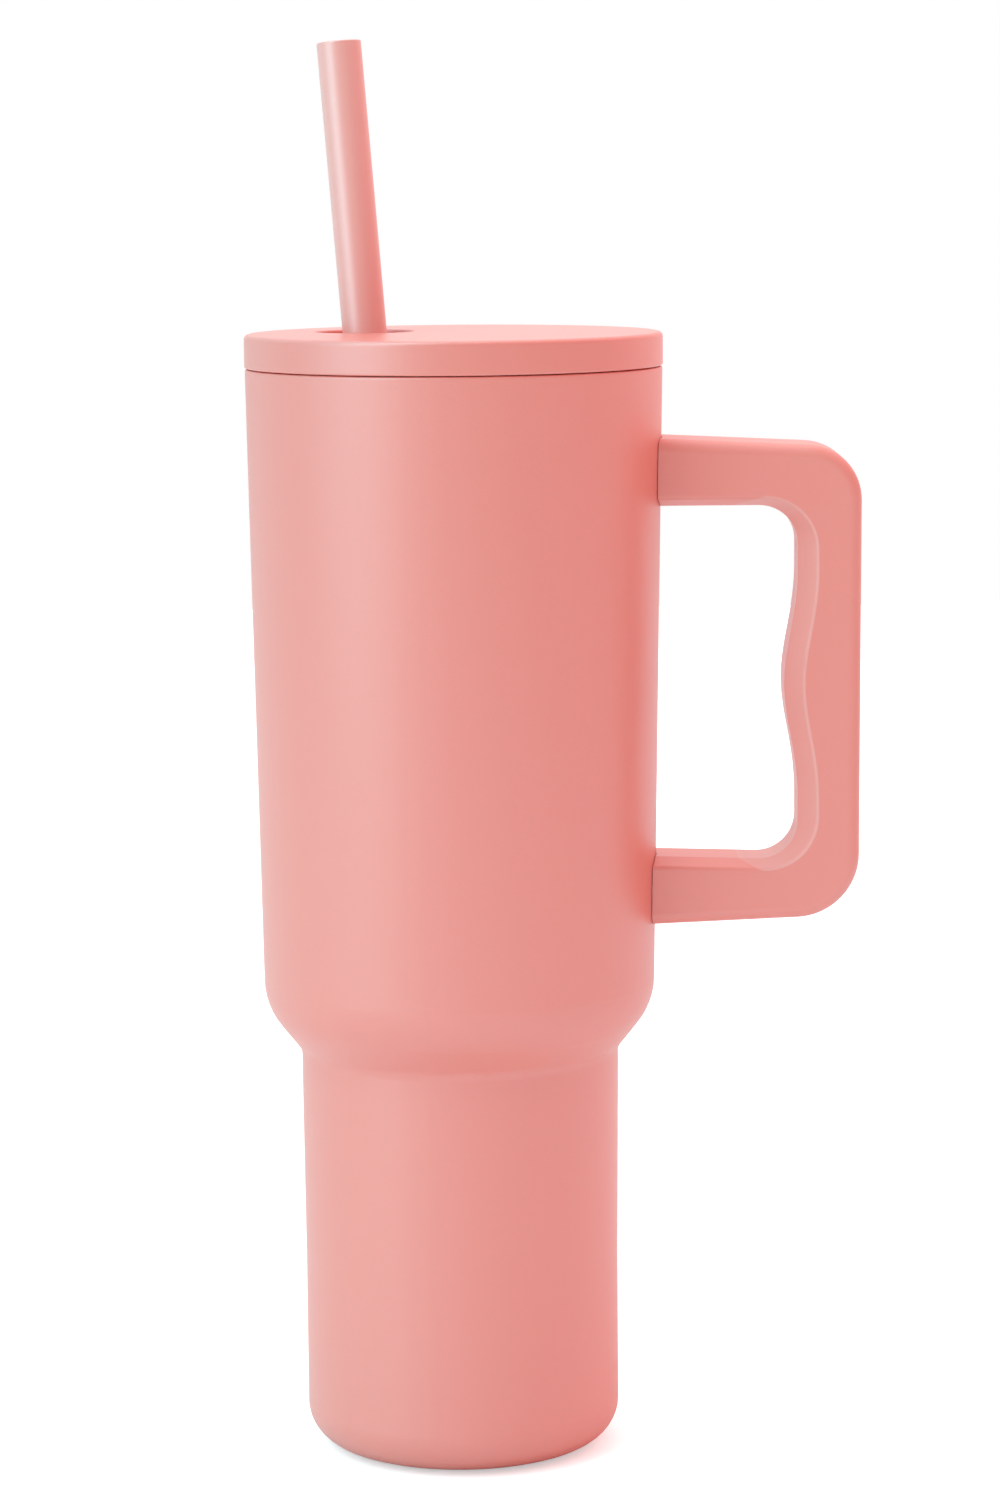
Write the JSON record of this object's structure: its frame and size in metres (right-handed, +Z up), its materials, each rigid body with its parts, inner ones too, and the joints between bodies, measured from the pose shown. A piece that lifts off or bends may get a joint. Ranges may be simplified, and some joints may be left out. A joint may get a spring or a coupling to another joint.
{
  "type": "insulated tumbler",
  "caption": "Tall double-wall tumbler with a stepped cup-holder base, flat screw-in lid with a leaning straw in a round dish, and a C-shaped side handle with a wavy grip.",
  "frame": {"origin": "on the vessel's axis in the plane the base pad rests on", "axes": "+Z up along the vessel's axis, +X from the axis through the handle"},
  "size_m": [0.1482, 0.1008, 0.344],
  "materials": {
    "body_coat": "fine matte powder coat",
    "bare_steel": "fine brushed stainless steel",
    "seal_glass": "fused sealing glass",
    "getter_metal": "grey sintered metal",
    "pad_silicone": "matte silicone",
    "screw_steel": "passivated stainless steel",
    "handle_plastic": "satin moulded plastic",
    "grip_rubber": "soft-touch satin rubber",
    "lid_plastic": "satin moulded plastic",
    "lid_inner_plastic": "plain moulded plastic",
    "gasket_silicone": "translucent white silicone",
    "seal_silicone": "matte silicone",
    "straw_plastic": "semi-gloss extruded plastic"
  },
  "bodies": {
    "vessel": {"outer_shell": "body_coat", "outer_bottom": "bare_steel", "seal_bead": "seal_glass", "base_pad": "pad_silicone", "getter_holder": "bare_steel", "getter_pellet": "getter_metal", "inner_liner": "bare_steel", "liner_bottom": "bare_steel", "upper_bracket": "bare_steel", "lower_bracket": "bare_steel", "upper_screw": "screw_steel", "lower_screw": "screw_steel", "upper_screw_cover": "handle_plastic", "lower_screw_cover": "handle_plastic", "handle_body": "handle_plastic", "handle_grip": "grip_rubber"},
    "lid_seal": {"lid_gasket": "gasket_silicone"},
    "lid": {"lid_cap": "lid_plastic", "lid_plug": "lid_inner_plastic", "straw_seal": "seal_silicone"},
    "straw": {"straw": "straw_plastic"}
  },
  "joints": [
    {"name": "lid_rise", "type": "slide", "parent": "vessel", "child": "lid_seal", "axis": [0, 0, 1], "range_m": [0, 0.04]},
    {"name": "lid_turn", "type": "hinge", "parent": "lid_seal", "child": "lid", "pos_m": [0, 0, 0.27], "axis": [0, 0, 1], "range_deg": [0, 1800]},
    {"name": "straw_pull", "type": "slide", "parent": "lid", "child": "straw", "axis": [-0.0789, 0.0428, 0.996], "range_m": [0, 0.26]}
  ],
  "couplings": [
    {"joint": "lid_rise", "follows": "lid_turn", "m_per_rad": 0.0012732}
  ]
}
